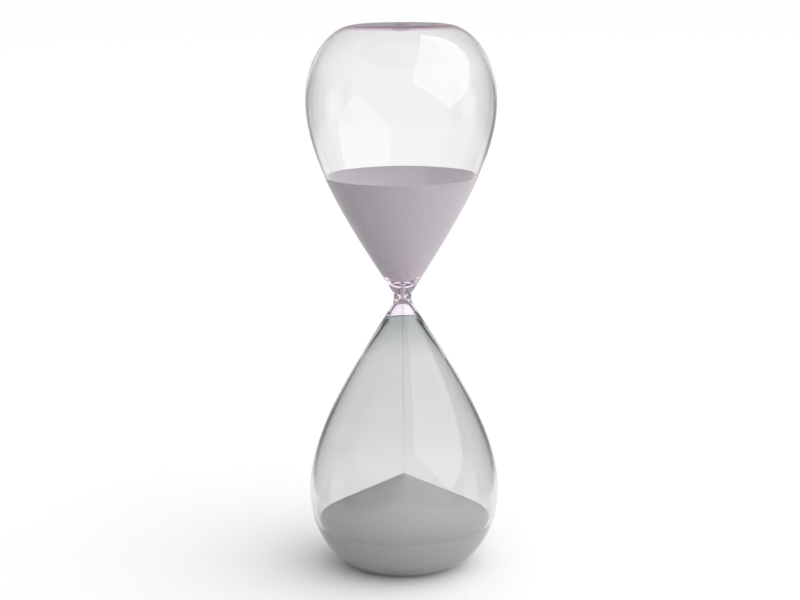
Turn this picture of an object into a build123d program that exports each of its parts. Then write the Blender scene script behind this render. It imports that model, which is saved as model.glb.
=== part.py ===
"""Frameless hourglass: two blown glass bulbs joined below a drilled throat, with fine sand inside.

The origin is the middle of the lower bulb's rest face, and +Z is up.
"""
import os
from math import radians, tan

from build123d import *

# ---- outside of the glass (mm, degrees) ----
total_height = 225.0          # from one rest face to the other
neck_height = 113.5           # lower rest face to the middle of the throat
neck_radius = 3.65            # outside of the throat
neck_length = 1.6             # straight part of the throat's outside
neck_sweep = 3.5              # radius from the throat into each flank
flank_angle = 32.5            # half angle of both flanks beside the throat
flank_pull = 27.0             # tangent handle of the flank's curve at the throat
belly_pull = 24.8             # tangent handle of the flank's curve at the belly
upper_belly_radius = 38.8
upper_belly_height = 80.7     # widest ring of the upper bulb, above the middle of the throat
lower_belly_radius = 39.5
lower_belly_height = 81.8     # widest ring of the lower bulb, below the middle of the throat
rest_radius = 17.5            # flat face at each end, on which the glass stands

# ---- inside of the glass ----
upper_flank_wall = 1.1
upper_belly_wall = 1.0
upper_end_wall = 0.7
lower_flank_wall = 1.3
lower_belly_wall = 1.4
lower_end_wall = 2.0
bore_radius = 0.4             # narrowest part of the throat, which meters the sand
bore_flare = (0.45, 0.4)      # out and up from the bore, which leads its curve into the channel
channel_radius = 1.2          # channel between the bore and the bowl
channel_height = 5.4          # top of the channel, above the middle of the throat
channel_taper = 0.15          # how much narrower the channel is half way down
bowl_lip = (0.1, 0.6)         # out and up from the channel, which leads its curve into the bowl
bowl_foot = (4.9, 5.7)        # radius and height that the bowl's foot curves towards
bowl_share = 0.0935           # share of the flank that the bowl's foot takes up
funnel_mouth = (1.3, 1.2)     # radius and depth that the lower funnel curves towards below the bore
funnel_skirt = (5.3, 6.0)     # and above the weld
weld_waist = (5.8, 7.8)       # radius and depth of the funnel's end, level with the seam
weld_bulge = (6.3, 10.9)      # radius and depth that the thick ring of glass below the seam curves towards
weld_pull = 7.0               # tangent handle of that ring where it runs out into the wall
weld_share = 0.3075           # share of the flank that the ring takes up

# ---- colour seam and filling hole ----
seam_drop = 7.8               # seam on the axis, below the middle of the throat
seam_front_tilt = 11.5        # the seam rises towards -Y
seam_side_tilt = 3.5          # and towards +X
seal_stem_radius = 2.0
seal_bead_radius = 4.0
seal_bead_depth = 1.6         # how far the bead hangs below the end wall
seal_clearance = 0.05         # between the stem and its hole
seal_recess = 0.3             # stem below the rest face, so that the glass also stands on this end

# ---- sand ----
sand_gap = 0.1                # between the outermost grains and the glass
repose_angle = 27.5
crater_height = 35.0          # bottom of the upper crater, above the middle of the throat
heap_height = 38.0            # top of the lower heap, above the rest face

# Half sections are drawn as radius and distance from the middle of the throat, up or down.
throat_up = Plane((0, 0, neck_height), x_dir=(1, 0, 0), z_dir=(0, -1, 0))
throat_down = Plane((0, 0, neck_height), x_dir=(1, 0, 0), z_dir=(0, 1, 0))
upper_length = total_height - neck_height
lower_length = neck_height
reach = max(upper_belly_radius, lower_belly_radius)
stream_radius = bore_radius - sand_gap


def bulb_curves(belly_radius, belly_height, length, flank_inset=0, belly_inset=0, end_inset=0):
    """Arc out of the neck, flank and shoulder of one bulb, moved inwards by the insets.

    The flank is a tangent curve to the widest ring, and the shoulder a quarter ellipse to the flat end.
    """
    widest = Vector(belly_radius - belly_inset, belly_height)
    with BuildLine() as curves:
        sweep = JernArc((neck_radius - flank_inset, neck_length / 2), (0, 1), neck_sweep + flank_inset,
                        -flank_angle)
        flank = Bezier(sweep @ 1, sweep @ 1 + (sweep % 1) * flank_pull, widest - Vector(0, belly_pull),
                       widest)
        shoulder = EllipticalCenterArc((rest_radius, belly_height), widest.X - rest_radius,
                                       length - end_inset - belly_height, start_angle=0, arc_size=90)
    return sweep, flank, shoulder


def bulb_section(belly_radius, belly_height, length, flank_inset=0, belly_inset=0, end_inset=0):
    """Half section of one bulb from a straight neck to its flat end, moved inwards by the insets."""
    sweep, flank, shoulder = bulb_curves(belly_radius, belly_height, length, flank_inset, belly_inset,
                                         end_inset)
    with BuildSketch() as section:
        with BuildLine():
            add((sweep, flank, shoulder))
            Polyline(shoulder @ 1, (0, length - end_inset), (0, 0), (neck_radius - flank_inset, 0), sweep @ 0)
        make_face()
    return section.sketch


def bowl_section(gap=0):
    """Half section of the space in the upper bulb, clear of the glass by the gap.

    The bore opens into a channel, the channel into a bowl with a rounded foot, and the bowl follows the
    outside of the bulb from there on.
    """
    flank, shoulder = bulb_curves(upper_belly_radius, upper_belly_height, upper_length,
                                  upper_flank_wall + gap, upper_belly_wall + gap, upper_end_wall + gap)[1:]
    bore = Vector(bore_radius - gap, 0)
    channel_top = Vector(channel_radius - gap, channel_height)
    with BuildSketch() as section:
        with BuildLine():
            channel = Bezier(bore, bore + Vector(*bore_flare) + Vector(0, gap),
                             Vector(channel_top.X - channel_taper, channel_height / 2), channel_top)
            bowl = flank.trim(bowl_share, 1)
            Bezier(channel_top, channel_top + Vector(*bowl_lip) + Vector(0, gap),
                   Vector(*bowl_foot) + Vector(-gap, gap * 1.4), bowl @ 0)
            add((bowl, shoulder))
            Polyline(shoulder @ 1, (0, upper_length - upper_end_wall - gap), (0, 0), channel @ 0)
        make_face()
    return section.sketch


def funnel_section():
    """Half section of the space in the lower bulb.

    A funnel opens from the bore as far as the seam. Past the thick ring of glass that the weld has left, the
    space follows the outside of the bulb.
    """
    flank, shoulder = bulb_curves(lower_belly_radius, lower_belly_height, lower_length, lower_flank_wall,
                                  lower_belly_wall, lower_end_wall)[1:]
    with BuildSketch() as section:
        with BuildLine():
            funnel = Bezier((bore_radius, 0), funnel_mouth, funnel_skirt, weld_waist)
            wall = flank.trim(weld_share, 1)
            Bezier(weld_waist, weld_bulge, wall @ 0 - (wall % 0) * weld_pull, wall @ 0)
            add((wall, shoulder))
            Polyline(shoulder @ 1, (0, lower_length - lower_end_wall), (0, 0), funnel @ 0)
        make_face()
    return section.sketch


def slope_section(tip, length):
    """Half section of the space between a slope of sand and the end of its bulb.

    The slope falls towards the throat at the angle of repose. Its tip is flat and as wide as the stream.
    """
    rise = (reach - stream_radius) * tan(radians(repose_angle))
    with BuildSketch() as section:
        with BuildLine():
            Polyline((0, tip), (stream_radius, tip), (reach, tip + rise), (reach, length), (0, length),
                     close=True)
        make_face()
    return section.sketch


# The glass is drawn as one vessel, and its two colours meet at the seam just below the throat.
with BuildPart() as vessel:
    with BuildSketch(throat_up):
        add(bulb_section(upper_belly_radius, upper_belly_height, upper_length))
        add(bowl_section(), mode=Mode.SUBTRACT)
    revolve(axis=Axis.Z)
    with BuildSketch(throat_down):
        add(bulb_section(lower_belly_radius, lower_belly_height, lower_length))
        add(funnel_section(), mode=Mode.SUBTRACT)
    revolve(axis=Axis.Z)

seam = Plane((0, 0, neck_height - seam_drop)).rotated((-seam_front_tilt, -seam_side_tilt, 0))

with BuildPart() as lower_bulb:
    add(vessel.part)
    split(bisect_by=seam, keep=Keep.BOTTOM)

# The rose bulb carries the throat, and has the filling hole in the middle of its flat end.
with BuildPart() as upper_bulb:
    add(vessel.part)
    split(bisect_by=seam, keep=Keep.TOP)
    with Locations((0, 0, total_height)):
        Hole(seal_stem_radius + seal_clearance, depth=upper_end_wall)

# A drop of glass closes the filling hole: a stem in the hole and a bead against the inner face.
bead_seat = total_height - upper_end_wall
stem_top = total_height - seal_recess
with BuildPart() as filling_seal:
    with BuildSketch(Plane.XZ):
        with BuildLine():
            bead = TangentArc((0, bead_seat - seal_bead_depth), (seal_bead_radius, bead_seat),
                              tangent=(1, 0))
            Polyline(bead @ 1, (seal_stem_radius, bead_seat), (seal_stem_radius, stem_top),
                     (0, stem_top), bead @ 0)
        make_face()
    revolve(axis=Axis.Z)

# The upper sand fills its bulb's funnel down to the middle of the throat, and has drained to a crater.
with BuildPart() as upper_sand:
    with BuildSketch(throat_up):
        add(bowl_section(sand_gap))
        add(slope_section(crater_height, upper_length), mode=Mode.SUBTRACT)
    revolve(axis=Axis.Z)

# The heap in the lower bulb has run out to the same slope.
with BuildPart() as lower_sand:
    with BuildSketch(throat_down):
        add(bulb_section(lower_belly_radius, lower_belly_height, lower_length,
                         lower_flank_wall + sand_gap, lower_belly_wall + sand_gap, lower_end_wall + sand_gap))
        add(slope_section(neck_height - heap_height, lower_length), mode=Mode.INTERSECT)
    revolve(axis=Axis.Z)

# The stream falls from the throat onto the tip of the heap.
with BuildPart() as sand_stream:
    with Locations((0, 0, heap_height)):
        Cylinder(stream_radius, neck_height - heap_height, align=(Align.CENTER, Align.CENTER, Align.MIN))

upper_bulb.part.label = "upper_bulb"
lower_bulb.part.label = "lower_bulb"
filling_seal.part.label = "filling_seal"
upper_sand.part.label = "upper_sand"
lower_sand.part.label = "lower_sand"
sand_stream.part.label = "sand_stream"

os.makedirs("parts", exist_ok=True)
for piece in (upper_bulb, lower_bulb, filling_seal, upper_sand, lower_sand, sand_stream):
    export_step(piece.part, f"parts/{piece.part.label}.step")
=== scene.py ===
"""A frameless hourglass: two blown glass bulbs, rose over smoke grey, with pale lilac sand running."""
from math import cos, pi, radians, sin, tan

import bpy
import numpy as np
from mathutils import Matrix


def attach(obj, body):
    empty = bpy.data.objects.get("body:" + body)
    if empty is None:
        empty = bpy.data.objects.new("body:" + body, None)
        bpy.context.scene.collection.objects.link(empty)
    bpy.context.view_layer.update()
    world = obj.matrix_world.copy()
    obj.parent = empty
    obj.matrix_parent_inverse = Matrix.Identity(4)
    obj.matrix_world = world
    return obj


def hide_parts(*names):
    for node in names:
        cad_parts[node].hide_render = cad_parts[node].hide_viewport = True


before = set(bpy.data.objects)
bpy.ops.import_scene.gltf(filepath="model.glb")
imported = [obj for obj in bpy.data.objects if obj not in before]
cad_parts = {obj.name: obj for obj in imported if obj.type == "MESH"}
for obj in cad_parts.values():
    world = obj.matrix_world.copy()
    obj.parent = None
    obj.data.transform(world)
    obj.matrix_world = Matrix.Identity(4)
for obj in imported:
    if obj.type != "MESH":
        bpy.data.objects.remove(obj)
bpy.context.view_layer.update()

mm = 0.001

# ---- Lower bulb ----
# The lower bulb is blown borosilicate glass tinted smoke grey: a drop with a flat face ground under it to
# stand on. It ends at the seam, where it is welded to the skirt of the rose glass, just below the throat.

# Sizes in mm. A point of an outline is a radius and a distance from the middle of the throat.
throat_height = 113.5
neck_radius, neck_length, neck_sweep, flank_angle = 3.65, 1.6, 3.5, radians(32.5)
flank_pull, belly_pull, rest_radius = 27.0, 24.8, 17.5
lower_belly_radius, lower_belly_height, lower_length = 39.5, 81.8, throat_height
lower_flank_wall, lower_belly_wall, lower_end_wall, bore_radius = 1.3, 1.4, 2.0, 0.4
funnel_mouth, funnel_skirt, weld_waist = (1.3, 1.2), (5.3, 6.0), (5.8, 7.8)
weld_bulge, weld_pull, weld_end = (6.3, 10.9), 7.0, 26.0
seam_height, seam_front_rise, seam_side_rise = throat_height - 7.8, tan(radians(11.5)), 0.0624
above_seam, to_seam, seam_zone, seam_relax = 4.0, 4.6, 14.0, 7.0
weld_gap, columns, sharp_angle = 0.05, 192, radians(50)
waviness, wave_lean, calm_radius, calm_reach = 0.08, (19.0, 11.0), 9.6, 12.0


def bezier(points, count=80):
    """A cubic Bezier curve through its first and last point, pulled towards the two between."""
    a, b, c, d = np.array(points, float)
    s = np.linspace(0, 1, count)[:, None]
    return (1 - s) ** 3 * a + 3 * (1 - s) ** 2 * s * b + 3 * (1 - s) * s ** 2 * c + s ** 3 * d


def bulb_outline(belly_radius, belly_height, length, flank=0.0, belly=0.0, end=0.0):
    """Radius and distance from the throat's middle to the flat end's middle, for a bulb with these insets.

    A straight neck, then radius = centre - sweep cos(t), distance = neck + sweep sin(t) for the arc into
    the flank, a cubic Bezier curve to the widest ring, a quarter ellipse over the shoulder, and a straight
    flat end, as about a thousand points.
    """
    t = np.linspace(0, flank_angle, 60)
    sweep = neck_sweep + flank
    arc = np.c_[neck_radius - flank + sweep * (1 - np.cos(t)), neck_length / 2 + sweep * np.sin(t)]
    start = arc[-1]
    widest = np.array([belly_radius - belly, belly_height])
    flank_end = start + flank_pull * np.array([sin(flank_angle), cos(flank_angle)])
    curve = bezier([start, flank_end, widest - [0, belly_pull], widest], 500)
    q = np.linspace(0, pi / 2, 400)[1:]
    shoulder = np.c_[rest_radius + (widest[0] - rest_radius) * np.cos(q),
                     belly_height + (length - end - belly_height) * np.sin(q)]
    return np.vstack([[[neck_radius - flank, 0]], arc, curve[1:], shoulder, [[0, length - end]]])


def weld_outline():
    """The lower bulb's inner outline: a funnel from the bore, the thick ring at the weld, then the wall."""
    wall = bulb_outline(lower_belly_radius, lower_belly_height, lower_length,
                        lower_flank_wall, lower_belly_wall, lower_end_wall)
    first = np.searchsorted(wall[:, 1], weld_end)
    join, lean = wall[first], wall[first + 1] - wall[first]
    funnel = bezier([(bore_radius, 0), funnel_mouth, funnel_skirt, weld_waist])
    ring = bezier([weld_waist, weld_bulge, join - weld_pull * lean / np.hypot(*lean), join])
    return np.vstack([funnel, ring[1:], wall[first + 1:]])


def lengths_along(outline):
    """The distance along an outline to each of its points."""
    return np.r_[0, np.cumsum(np.hypot(*np.diff(outline, axis=0).T))]


def rows_along(outline, count, closest=6.0):
    """Row places along an outline, from 0 to its length, with steps in proportion to radius + closest."""
    lengths = lengths_along(outline)
    middle = (outline[1:, 0] + outline[:-1, 0]) / 2
    weight = np.r_[0, np.cumsum(np.diff(lengths) / (middle + closest))]
    return np.interp(np.linspace(0, weight[-1], count), weight, lengths)


def rows_from(start, rows):
    """Row places drawn together so that they begin this far along instead of at 0, and end where they did."""
    return start + rows * (1 - start / rows[-1])


def rings(outline, rows, seam=None):
    """Radius and height grids for an outline of radius and height, taken at the row places.

    With a seam offset, the first rows are moved along the outline so that row 0 lies that far above the
    seam's plane, which is seam height + radius x (side rise x cos(angle) - front rise x sin(angle)). Each
    column moves by its own distance, which fades with the square of the way that is left over the next few
    millimetres.
    """
    lengths = lengths_along(outline)
    angle = np.arange(columns) * 2 * pi / columns
    places = np.repeat(rows[:, None], columns, axis=1)
    if seam is not None:
        tilt = seam_side_rise * np.cos(angle) - seam_front_rise * np.sin(angle)
        near = lengths < seam_zone
        above = outline[near, 1:] - seam_height - seam - outline[near, :1] * tilt
        order = 1 if above[0, 0] < 0 else -1
        crossing = [np.interp(0, column[::order], lengths[near][::order]) for column in above.T]
        lead = rows[0] - np.array(crossing)
        places = places - lead * np.clip(1 - (places - rows[0]) / seam_relax, 0, 1) ** 2
    return np.interp(places, lengths, outline[:, 0]), np.interp(places, lengths, outline[:, 1])


def blown(radius, height):
    """The radius grid of a blown surface, never quite round: slow waves draw it in by up to the waviness.

    radius - waviness x (2 + sum of two sine waves) / 4. One wave runs three times round and one five times,
    and they lean opposite ways as they go up. Both die out at the neck and the flat, towards the calm radius.
    """
    angle = np.arange(columns) * 2 * pi / columns
    wave = np.sin(3 * angle + height / wave_lean[0]) + np.sin(5 * angle - height / wave_lean[1] + 2)
    return radius - waviness * (2 + wave) / 4 * np.clip((radius - calm_radius) / calm_reach, 0, 1)


def turned(name, radius, height, ring=False):
    """A closed surface turned about the axis: x = radius cos(angle), y = radius sin(angle), z = height.

    Rows run up the outside and back down the inside, so faces point outwards. A ring's last row joins its
    first; otherwise the first and last rows are gathered to one point each on the axis.
    """
    rows, around = radius.shape
    angle = np.arange(around) * 2 * pi / around
    body = slice(0, rows) if ring else slice(1, rows - 1)
    points = np.stack([radius * np.cos(angle), radius * np.sin(angle), height], axis=-1)[body].reshape(-1, 3)
    index = np.arange(len(points)).reshape(-1, around)
    lower, upper = (index, np.roll(index, -1, axis=0)) if ring else (index[:-1], index[1:])
    quads = np.stack([lower, np.roll(lower, -1, axis=1), np.roll(upper, -1, axis=1), upper], axis=-1)
    faces = quads.reshape(-1, 4).tolist()
    if not ring:
        first, last = len(points), len(points) + 1
        points = np.vstack([points, [[0, 0, height[0].mean()], [0, 0, height[-1].mean()]]])
        foot, top = index[0], index[-1]
        faces += np.c_[np.full(around, first), np.roll(foot, -1), foot].tolist()
        faces += np.c_[top, np.roll(top, -1), np.full(around, last)].tolist()
    mesh = bpy.data.meshes.new(name)
    mesh.from_pydata((points * mm).tolist(), [], faces)
    mesh.shade_smooth()
    mesh.set_sharp_from_angle(angle=sharp_angle)
    made = bpy.data.objects.new(name, mesh)
    bpy.context.scene.collection.objects.link(made)
    return made


def add_node(tree, kind, settings=(), **inputs):
    """One node with its settings, and its inputs given as numbers or as the sockets that they come from."""
    made = tree.nodes.new("ShaderNode" + kind)
    for name, value in dict(settings).items():
        setattr(made, name, value)
    for name, value in inputs.items():
        socket = made.inputs[int(name[1:]) if name[0] == "_" else name.replace("_", " ")]
        if isinstance(value, bpy.types.NodeSocket):
            tree.links.new(value, socket)
        else:
            socket.default_value = value
    return made


def linear(hex_colour):
    """An sRGB hex colour as linear red, green, blue and 1."""
    share = [int(hex_colour[i:i + 2], 16) / 255 for i in (1, 3, 5)]
    return [c / 12.92 if c <= 0.04045 else ((c + 0.055) / 1.055) ** 2.4 for c in share] + [1.0]


def below_throat(outline):
    """The part of an outline from a little above the seam down, as radius and height."""
    kept = outline[outline[:, 1] > throat_height - seam_height - above_seam]
    return np.c_[kept[:, 0], throat_height - kept[:, 1]]


lower_outside = bulb_outline(lower_belly_radius, lower_belly_height, lower_length)
lower_inside = weld_outline()
outer, inner = below_throat(lower_outside), below_throat(lower_inside)
# The rows begin about where the seam crosses, and are then drawn on to it, a hair below the rose glass.
outer_radius, outer_height = rings(outer, rows_from(to_seam, rows_along(outer, 150)), -weld_gap)
inner_radius, inner_height = rings(inner, rows_from(to_seam, rows_along(inner, 140)), -weld_gap)
outer_radius = blown(outer_radius, outer_height)
lower_bulb = turned("lower_bulb_glass", np.vstack([outer_radius[::-1], inner_radius]),
                    np.vstack([outer_height[::-1], inner_height]))

# Smoke grey borosilicate glass, blown and fire polished: darker where the wall is seen edge on, and darkest
# in the first two centimetres below the seam. It is all but clear in the last three centimetres above its
# foot. The grey is the glass's own, but its change with height is also painted light: the darker glass above
# is painted shade on the heap's top, lit through it, and the clear foot is painted light on the sand's foot.
glass_ior = 1.47
smoke_top, smoke_foot = seam_height + 1, seam_height - 76
# Tints by height, with painted shade on the heap's top and painted light on the sand's foot.
smoke_tints_with_painted_light = ((0.0, "#D8DAD9"), (0.08, "#E1E3E2"), (0.15, "#EBECEB"), (0.23, "#F0F1F0"), (0.5, "#F0F1F0"),
               (0.72, "#F5F6F5"), (0.84, "#F6F7F6"), (0.93, "#FBFCFB"), (1.0, "#FDFEFD"))


def tinted_glass(name, start, end, tints, deep_colour, density):
    """Polished glass whose tint changes with height, given at shares of the way from a start to an end in mm.

    The tint is what one wall lets through, whatever its thickness. In a length of glass, in metres, light
    also fades to exp(-density x (1 - deep colour) x length), so a wall seen edge on is the darker for it.
    """
    glass = bpy.data.materials.new(name)
    glass.use_nodes = True
    tree = glass.node_tree
    tree.nodes.clear()
    up = add_node(tree, "SeparateXYZ", Vector=add_node(tree, "TexCoord").outputs["Object"]).outputs["Z"]
    share = add_node(tree, "MapRange", Value=up, From_Min=start * mm, From_Max=end * mm)
    tint = add_node(tree, "ValToRGB", Fac=share.outputs[0])
    stops = tint.color_ramp.elements
    for place, colour in tints:
        stop = stops[0] if place == 0 else stops[-1] if place == 1 else stops.new(place)
        stop.color = linear(colour)
    shell = add_node(tree, "BsdfPrincipled", Base_Color=tint.outputs["Color"], Roughness=0.0, IOR=glass_ior,
                     Transmission_Weight=1.0)
    depth = add_node(tree, "VolumeAbsorption", Color=linear(deep_colour), Density=density)
    add_node(tree, "OutputMaterial", Surface=shell.outputs[0], Volume=depth.outputs[0])
    return glass


smoke_glass = tinted_glass("blown_glass_smoke_grey", smoke_top, smoke_foot, smoke_tints_with_painted_light, "#E8E9E9", 330.0)
lower_bulb.data.materials.append(smoke_glass)
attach(lower_bulb, "root")
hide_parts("lower_bulb")

# ---- Upper bulb ----
# The upper bulb is blown borosilicate glass with a faint rose tint. It carries the throat with its bore and
# a short skirt down to the seam. The flat face at its top has the filling hole in its middle.

upper_belly_radius, upper_belly_height, upper_length = 38.8, 80.7, 111.5
upper_flank_wall, upper_belly_wall, upper_end_wall = 1.1, 1.0, 0.7
total_height = throat_height + upper_length
bore_flare, channel_radius, channel_height, channel_taper = (0.45, 0.4), 1.2, 5.4, 0.15
bowl_lip, bowl_foot, bowl_foot_lift, bowl_start = (0.1, 0.6), (4.9, 5.7), 1.4, 10.0
skirt_reach, hole_radius = 12.0, 2.05


def bowl_outline(gap=0.0):
    """The upper bulb's inner outline: bore, channel, the bowl's rounded foot, then the wall's own curve.

    With a gap, it is the outline of something that fills the bulb this far off the glass.
    """
    wall = bulb_outline(upper_belly_radius, upper_belly_height, upper_length, upper_flank_wall + gap,
                        upper_belly_wall + gap, upper_end_wall + gap)
    first = np.searchsorted(wall[:, 1], bowl_start)
    bore, side = bore_radius - gap, channel_radius - gap
    channel = bezier([(bore, 0), (bore + bore_flare[0], bore_flare[1] + gap),
                      (side - channel_taper, channel_height / 2), (side, channel_height)])
    foot = bezier([(side, channel_height), (side + bowl_lip[0], channel_height + bowl_lip[1] + gap),
                   (bowl_foot[0] - gap, bowl_foot[1] + bowl_foot_lift * gap), wall[first]])
    return np.vstack([channel, foot[1:], wall[first + 1:]])


def through_throat(below, above):
    """Radius and height from just below the seam, through the throat and up to the filling hole."""
    skirt = below[below[:, 1] < skirt_reach][:0:-1]
    outline = np.vstack([np.c_[skirt[:, 0], throat_height - skirt[:, 1]],
                         np.c_[above[:, 0], throat_height + above[:, 1]]])
    outline[-1, 0] = hole_radius
    return outline


def above_the_seam(outline):
    """190 row places along an outline, from about the seam's height up."""
    seam_place = np.interp(seam_height, outline[:, 1], lengths_along(outline))
    return rows_from(seam_place, rows_along(outline, 190, closest=4.0))


outer = through_throat(lower_outside, bulb_outline(upper_belly_radius, upper_belly_height, upper_length))
inner = through_throat(lower_inside, bowl_outline())
outer_radius, outer_height = rings(outer, above_the_seam(outer), 0.0)
inner_radius, inner_height = rings(inner, above_the_seam(inner), 0.0)
outer_radius = blown(outer_radius, outer_height)
upper_bulb = turned("upper_bulb_glass", np.vstack([outer_radius, inner_radius[::-1]]),
                    np.vstack([outer_height, inner_height[::-1]]), ring=True)

# Rose borosilicate glass, blown and fire polished: nearly clear through one wall, and pinker where it is
# seen edge on, at the throat, and in the last 1.5 mm at the flat end, where the bulb was closed.
rose_foot = throat_height - 10
rose_tints = ((0.0, "#FEFAFE"), (0.18, "#FDF8FD"), (0.3, "#FBFBFB"), (0.988, "#FBFBFB"), (0.992, "#EDD8E5"),
              (1.0, "#E2C8D7"))

rose_glass = tinted_glass("blown_glass_pale_rose", rose_foot, total_height, rose_tints, "#F6EBF6", 85.0)
upper_bulb.data.materials.append(rose_glass)
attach(upper_bulb, "root")
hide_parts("upper_bulb")

# ---- Sand in the upper bulb ----
# Fine washed quartz sand, dyed pale lilac grey. It fills the funnel down to the bore, and has drained to a
# crater at the sand's angle of repose. Above the bowl's foot it is packed against the glass, and let into
# the wall by a hair, so that it shows through the wall's whole thickness as packed sand does.

sand_gap, repose, crater_height = 0.1, radians(27.5), 35.0
sand_bite, bite_start, bite_end = 0.2, 8.0, 11.0
stream_radius = bore_radius - sand_gap
top_relief, side_relief, smooth_core = 0.12, 0.05, 4.0
grains = np.random.default_rng(7)


def grainy(shape, size):
    """Seeded noise from -1 to 1, smoothed over this many rows and columns, with the columns joined up."""
    noise = grains.uniform(-1, 1, shape)
    for _ in range(size):
        noise = (noise + np.roll(noise, 1, 0) + np.roll(noise, 1, 1) + np.roll(noise, -1, 1)) / 4
    return noise / np.abs(noise).max()


def poured(name, side, side_rows, top, top_rows):
    """Sand turned about the axis from the outlines of its side and top, at these row places.

    The top is height + relief x noise x half a sine wave, which keeps its rim and tip where they are. The
    side is radius - relief x (1 + noise), which dies out over the last few millimetres before the axis.
    """
    side_radius, side_height = rings(side, side_rows)
    top_radius, top_height = rings(top, top_rows)
    held = np.sin(np.linspace(0, pi, len(top_rows)))[:, None]
    top_height = top_height + top_relief * grainy(top_height.shape, 3) * held
    worn = side_relief * (1 + grainy(side_radius[2:].shape, 1))
    side_radius[2:] -= worn * np.minimum(side_radius[2:] / smooth_core, 1)
    return turned(name, np.vstack([side_radius, top_radius[1:]]), np.vstack([side_height, top_height[1:]]))


fill = bowl_outline(sand_gap)
fill[:, 0] += (sand_gap + sand_bite) * np.clip((fill[:, 1] - bite_start) / (bite_end - bite_start), 0, 1)
side = fill[fill[:, 1] < crater_height + (fill[:, 0] - stream_radius) * tan(repose)]
crater = np.array([side[-1], [stream_radius, crater_height], [0, crater_height]]) + [0, throat_height]
side = np.vstack([[[0, 0]], side]) + [0, throat_height]
upper_sand = poured("upper_sand_grains", side, rows_along(side, 150, closest=3.0),
                    crater, rows_along(crater, 110, closest=2.0))

# Dry quartz sand, dyed: dull, with a speckle of paler and darker grains. A grain is about 0.25 mm; the
# speckle is drawn at 0.6 mm so that it still shows.
speckle_size, grain_depth = 0.6, 0.2

sand_finish = bpy.data.materials.new("quartz_sand_pale_lilac")
sand_finish.use_nodes = True
tree = sand_finish.node_tree
tree.nodes.clear()
place = add_node(tree, "TexCoord").outputs["Object"]
speckle = add_node(tree, "TexNoise", Vector=place, Scale=1 / (speckle_size * mm), Detail=2.0, Roughness=0.6)
blend = add_node(tree, "ValToRGB", Fac=speckle.outputs["Fac"])
darker, paler = blend.color_ramp.elements
darker.position, darker.color = 0.3, linear("#D3CDD3")
paler.position, paler.color = 0.7, linear("#E3DDE3")
bump = add_node(tree, "Bump", Height=speckle.outputs["Fac"], Strength=0.5, Distance=grain_depth * mm)
grain = add_node(tree, "BsdfPrincipled", Base_Color=blend.outputs["Color"], Roughness=0.95,
                 Normal=bump.outputs[0])
add_node(tree, "OutputMaterial", Surface=grain.outputs[0])
upper_sand.data.materials.append(sand_finish)
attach(upper_sand, "root")
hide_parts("upper_sand")

# ---- Heap in the lower bulb ----
# The same sand, run out to a cone at its angle of repose. Below the cone it lies packed against the glass,
# let into the wall by the same hair.

heap_height = 38.0

fill = bulb_outline(lower_belly_radius, lower_belly_height, lower_length, lower_flank_wall - sand_bite,
                    lower_belly_wall - sand_bite, lower_end_wall - sand_bite)
fill[:, 1] = throat_height - fill[:, 1]
slope = heap_height - (fill[:, 0] - stream_radius) * tan(repose)
side = fill[fill[:, 1] < np.minimum(slope, heap_height)][::-1]
cone = np.array([side[-1], [stream_radius, heap_height], [0, heap_height]])
lower_sand = poured("lower_sand_heap", side, rows_along(side, 110, closest=8.0),
                    cone, rows_along(cone, 150, closest=2.0))
lower_sand.data.materials.append(sand_finish)
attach(lower_sand, "root")
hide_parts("lower_sand")

# ---- Falling sand ----
# A thread of single grains falls from the bore to the tip of the heap. The grains speed up as they fall, so
# they lie further apart lower down.

grain_count, grain_radius, quickening = 520, 0.11, 1.35

# Each grain is a ball of twenty triangles, squeezed a little along each axis. It has fallen the way down
# times a random share to the power of the quickening, and lies off the axis by the root of another share.
golden = (1 + 5 ** 0.5) / 2
ball = np.array([(-1, golden, 0), (1, golden, 0), (-1, -golden, 0), (1, -golden, 0),
                 (0, -1, golden), (0, 1, golden), (0, -1, -golden), (0, 1, -golden),
                 (golden, 0, -1), (golden, 0, 1), (-golden, 0, -1), (-golden, 0, 1)]) / np.hypot(1, golden)
ball_faces = np.array([(0, 11, 5), (0, 5, 1), (0, 1, 7), (0, 7, 10), (0, 10, 11), (1, 5, 9), (5, 11, 4),
                       (11, 10, 2), (10, 7, 6), (7, 1, 8), (3, 9, 4), (3, 4, 2), (3, 2, 6), (3, 6, 8),
                       (3, 8, 9), (4, 9, 5), (2, 4, 11), (6, 2, 10), (8, 6, 7), (9, 8, 1)])
fall = (throat_height - heap_height) * grains.uniform(0, 1, grain_count) ** quickening
spread = (stream_radius - grain_radius) * np.sqrt(grains.uniform(0, 1, grain_count))
turn = grains.uniform(0, 2 * pi, grain_count)
centre = np.c_[spread * np.cos(turn), spread * np.sin(turn), throat_height - grain_radius - fall]
centre[:, 2] = np.clip(centre[:, 2], heap_height + grain_radius, throat_height - grain_radius)
size = grain_radius * grains.uniform(0.7, 1.0, (grain_count, 1, 3))
points = (centre[:, None, :] + ball[None] * size).reshape(-1, 3)
faces = (ball_faces[None] + len(ball) * np.arange(grain_count)[:, None, None]).reshape(-1, 3)
mesh = bpy.data.meshes.new("falling_sand_grains")
mesh.from_pydata((points * mm).tolist(), [], faces.tolist())
sand_stream = bpy.data.objects.new("falling_sand_grains", mesh)
bpy.context.scene.collection.objects.link(sand_stream)
sand_stream.data.materials.append(sand_finish)
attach(sand_stream, "root")
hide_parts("sand_stream")

# ---- Filling seal ----
# A drop of the same rose glass, melted into the filling hole after the sand has gone in: a stem in the hole
# and a rounded bead against the inner face of the flat end.

stem_radius, bead_radius, bead_depth, stem_recess = 2.0, 4.0, 1.6, 0.3
bead_seat = total_height - upper_end_wall - weld_gap
bead_arc = (bead_radius ** 2 + bead_depth ** 2) / (2 * bead_depth)
seal_columns = 96

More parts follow.
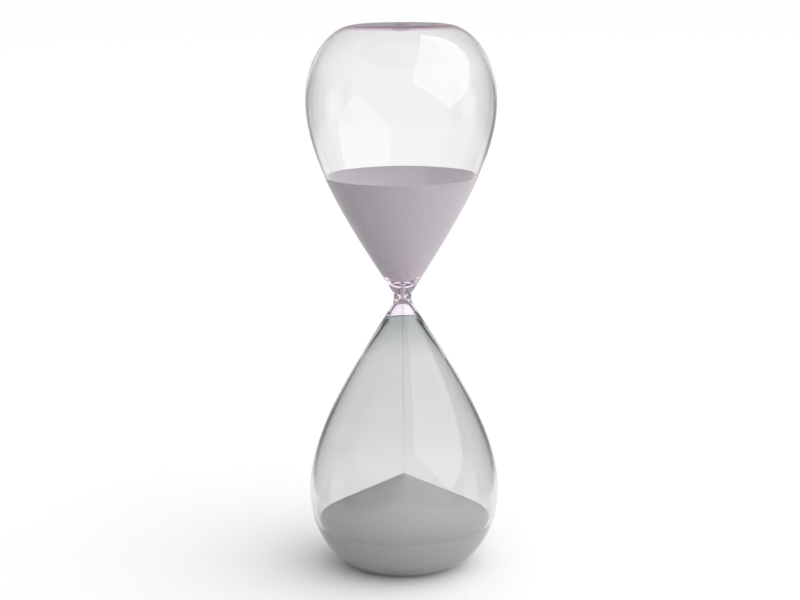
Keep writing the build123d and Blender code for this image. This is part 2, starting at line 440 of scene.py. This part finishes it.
t = np.linspace(0, np.arcsin(bead_radius / bead_arc), 24)
drop = np.vstack([np.c_[bead_arc * np.sin(t), bead_seat - bead_depth + bead_arc * (1 - np.cos(t))],
                  [[stem_radius, bead_seat], [stem_radius, total_height - stem_recess],
                   [0, total_height - stem_recess]]])
filling_seal = turned("filling_seal_drop", np.repeat(drop[:, :1], seal_columns, axis=1),
                      np.repeat(drop[:, 1:], seal_columns, axis=1))
filling_seal.data.materials.append(rose_glass)
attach(filling_seal, "root")
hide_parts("filling_seal")

# ---- Table, light and camera ----
# A white table under a soft, even light, with one tall diffuser on the right. The glass is lit as glassware
# is: a white sheet straight behind it and darker surroundings beside the sheet, which draw its edges.

# Sizes in metres.
table_corners, table_drop = np.array([(-0.12, -0.45), (0.12, -0.45), (0.12, 0.7), (-0.12, 0.7)]), 0.0001
floor_corners, floor_drop = np.array([(-20, -20), (20, -20), (20, 20), (-20, 20)]), 0.0002
# The diffuser's corners are azimuth from straight behind towards the right and height above the horizon. It
# lies in a plane that faces a point above the table from this distance.
diffuser_bearings = np.radians([(166, 23), (122, -3), (95, 8), (70, 28), (30, 66)])
diffuser_facing, diffuser_distance, diffuser_level = np.array([0.742, -0.346, 0.574]), 1.6, 0.13

side_on, up_on = diffuser_bearings.T
towards = np.c_[np.sin(side_on) * np.cos(up_on), np.cos(side_on) * np.cos(up_on), np.sin(up_on)]
diffuser = towards * (diffuser_distance / (towards @ diffuser_facing))[:, None] + [0, 0, diffuser_level]
stage = {}
for name, points in (("table", np.c_[table_corners, np.full(4, -table_drop)]),
                     ("floor", np.c_[floor_corners, np.full(4, -floor_drop)]),
                     ("diffuser", diffuser)):
    mesh = bpy.data.meshes.new(name)
    mesh.from_pydata(points.tolist(), [], [list(range(len(points)))])
    stage[name] = bpy.data.objects.new(name, mesh)
    bpy.context.scene.collection.objects.link(stage[name])
# The glass doesn't see the floor past the table, and the diffuser gives light but is seen only in the glass.
stage["floor"].visible_glossy = stage["floor"].visible_transmission = False
stage["diffuser"].visible_camera = stage["diffuser"].visible_shadow = False

# Matt white paper, uncoated: an even white without gloss, which keeps the soft shadow.
paper_white, cloth_glow = 0.9, 1.7

paper = bpy.data.materials.new("matt_white_paper")
paper.use_nodes = True
tree = paper.node_tree
tree.nodes.clear()
card = add_node(tree, "BsdfDiffuse", Color=(paper_white, paper_white, paper_white, 1))
add_node(tree, "OutputMaterial", Surface=card.outputs[0])
for name in ("table", "floor"):
    stage[name].data.materials.append(paper)

# White cloth, woven and lit from behind: the bright panels in the glass are its reflections.
cloth = bpy.data.materials.new("white_diffuser_cloth")
cloth.use_nodes = True
tree = cloth.node_tree
tree.nodes.clear()
glow = add_node(tree, "Emission", Color=(1, 1, 1, 1), Strength=cloth_glow)
add_node(tree, "OutputMaterial", Surface=glow.outputs[0])
stage["diffuser"].data.materials.append(cloth)

world = bpy.data.worlds.new("studio")
bpy.context.scene.world = world
world.use_nodes = True
tree = world.node_tree
tree.nodes.clear()
soft = {"interpolation_type": "SMOOTHSTEP"}
ray = add_node(tree, "LightPath").outputs
direction = add_node(tree, "SeparateXYZ", Vector=add_node(tree, "TexCoord").outputs["Generated"]).outputs
rise = direction["Z"]
azimuth = add_node(tree, "Math", {"operation": "ARCTAN2"}, _0=direction["X"], _1=direction["Y"]).outputs[0]
behind = add_node(tree, "Math", {"operation": "ABSOLUTE"}, _0=azimuth).outputs[0]

# The white sheets that the glass sees: one behind, wider higher up, and a narrow one at each side.
half_width = add_node(tree, "MapRange", Value=rise, From_Min=-0.2, From_Max=0.1, To_Min=radians(15),
                      To_Max=radians(30)).outputs[0]
margin = add_node(tree, "Math", {"operation": "SUBTRACT"}, _0=half_width, _1=behind).outputs[0]
back_sheet = add_node(tree, "MapRange", soft, Value=margin, From_Min=radians(-4),
                      From_Max=radians(5)).outputs[0]
off_side = add_node(tree, "Math", {"operation": "SUBTRACT"}, _0=behind, _1=pi / 2).outputs[0]
from_side = add_node(tree, "Math", {"operation": "ABSOLUTE"}, _0=off_side).outputs[0]
side_sheet = add_node(tree, "MapRange", soft, Value=from_side, From_Min=radians(10), From_Max=radians(14),
                      To_Min=1.0, To_Max=0.0).outputs[0]
side_top = add_node(tree, "MapRange", soft, Value=rise, From_Min=0.1, From_Max=0.18, To_Min=1.0,
                    To_Max=0.0).outputs[0]
side_seen = add_node(tree, "Math", {"operation": "MULTIPLY"}, _0=side_sheet, _1=side_top).outputs[0]
sheets = add_node(tree, "Math", {"operation": "MAXIMUM"}, _0=back_sheet, _1=side_seen).outputs[0]
# They dim to a fifth just above the horizon in reflections, and higher up where seen through the glass.
mirrored = add_node(tree, "MapRange", soft, Value=rise, From_Min=0.02, From_Max=0.035, To_Min=1.0,
                    To_Max=0.2).outputs[0]
refracted = add_node(tree, "MapRange", soft, Value=rise, From_Min=0.12, From_Max=0.2, To_Min=1.0,
                     To_Max=0.2).outputs[0]
sheet_top = add_node(tree, "Mix", {"data_type": "FLOAT"}, _0=ray["Is Transmission Ray"], _2=mirrored,
                     _3=refracted).outputs[0]
sheets_seen = add_node(tree, "Math", {"operation": "MULTIPLY"}, _0=sheets, _1=sheet_top).outputs[0]

# The room round the sheets: greys by azimuth, greys by height, and how far the second takes over low down.
around = add_node(tree, "MapRange", Value=behind, From_Min=0.0, From_Max=pi).outputs[0]
above = add_node(tree, "MapRange", Value=rise, From_Min=-1.0, From_Max=1.0).outputs[0]
greys = []
azimuth_shades = ((0.0, 0.14), (0.33, 0.14), (0.42, 0.28), (0.6, 0.4), (0.75, 0.46), (1.0, 0.46))
height_shades = ((0.0, 0.9), (0.34, 0.9), (0.395, 0.3), (0.48, 0.3), (1.0, 0.3))
low_shares = ((0.0, 1.0), (0.42, 1.0), (0.48, 0.0), (1.0, 0.0))
for share, shades in ((around, azimuth_shades), (above, height_shades), (above, low_shares)):
    ramp = add_node(tree, "ValToRGB", Fac=share)
    stops = ramp.color_ramp.elements
    for place, shade in shades:
        stop = stops[0] if place == 0 else stops[-1] if place == 1 else stops.new(place)
        stop.color = (shade, shade, shade, 1)
    greys.append(ramp.outputs["Color"])
by_azimuth, by_height, low_down = greys
room = add_node(tree, "Mix", {"data_type": "FLOAT"}, _0=low_down, _2=by_azimuth, _3=by_height).outputs[0]
# Through the glass, from behind it, the room in front is seen nearly white.
front_white = 0.92
front = add_node(tree, "MapRange", soft, Value=behind, From_Min=radians(100),
                 From_Max=radians(125)).outputs[0]
front_seen = add_node(tree, "Math", {"operation": "MULTIPLY"}, _0=front,
                      _1=ray["Is Transmission Ray"]).outputs[0]
room_seen = add_node(tree, "Mix", {"data_type": "FLOAT"}, _0=front_seen, _2=room, _3=front_white).outputs[0]
seen = add_node(tree, "Mix", {"data_type": "FLOAT"}, _0=sheets_seen, _2=room_seen, _3=1.0).outputs[0]

# The light on sand and table is soft: stronger from the right, and a little from above and from the front.
from_above = add_node(tree, "MapRange", Value=rise, From_Min=0.0, From_Max=1.0, To_Min=1.04,
                      To_Max=1.17).outputs[0]
from_right = add_node(tree, "MapRange", Value=direction["X"], From_Min=-1.0, From_Max=1.0, To_Min=0.3,
                      To_Max=1.6).outputs[0]
from_front = add_node(tree, "MapRange", Value=direction["Y"], From_Min=-1.0, From_Max=1.0, To_Min=1.1,
                      To_Max=0.95).outputs[0]
from_top_right = add_node(tree, "Math", {"operation": "MULTIPLY"}, _0=from_above, _1=from_right).outputs[0]
light = add_node(tree, "Math", {"operation": "MULTIPLY"}, _0=from_top_right, _1=from_front).outputs[0]

# Rays that have met only glass see the sheets and the room, and the camera sees white past everything.
# Whatever scatters light is lit by the soft light.
glassy = add_node(tree, "Math", {"operation": "MAXIMUM"}, _0=ray["Is Glossy Ray"],
                  _1=ray["Is Transmission Ray"]).outputs[0]
unscattered = add_node(tree, "Math", {"operation": "LESS_THAN"}, _0=ray["Diffuse Depth"], _1=0.5).outputs[0]
only_glass = add_node(tree, "Math", {"operation": "MULTIPLY"}, _0=glassy, _1=unscattered).outputs[0]
surroundings = add_node(tree, "Mix", {"data_type": "FLOAT"}, _0=only_glass, _2=light, _3=seen).outputs[0]
shown = add_node(tree, "Mix", {"data_type": "FLOAT"}, _0=ray["Is Camera Ray"], _2=surroundings,
                 _3=1.0).outputs[0]
sky = add_node(tree, "Background", Color=(1, 1, 1, 1), Strength=shown)
add_node(tree, "OutputWorld", Surface=sky.outputs[0])

camera_place, camera_turn, camera_dip, camera_roll = (0, -0.71759, 0.25976), 0.0862, 11.5992, -0.4697
focal_length, sensor_width = 79.95, 36.0

lens = bpy.data.cameras.new("camera")
lens.lens, lens.sensor_width = focal_length, sensor_width
camera = bpy.data.objects.new("camera", lens)
camera.matrix_world = (Matrix.Translation(camera_place) @ Matrix.Rotation(radians(camera_turn), 4, "Z")
                       @ Matrix.Rotation(radians(90 - camera_dip), 4, "X")
                       @ Matrix.Rotation(radians(camera_roll), 4, "Z"))
bpy.context.scene.collection.objects.link(camera)
bpy.context.scene.camera = camera

# Light crosses many walls one after another at the throat, so it is followed far.
scene = bpy.context.scene
scene.view_settings.view_transform = "Standard"
scene.cycles.max_bounces = scene.cycles.transmission_bounces = 24
scene.cycles.glossy_bounces = 12
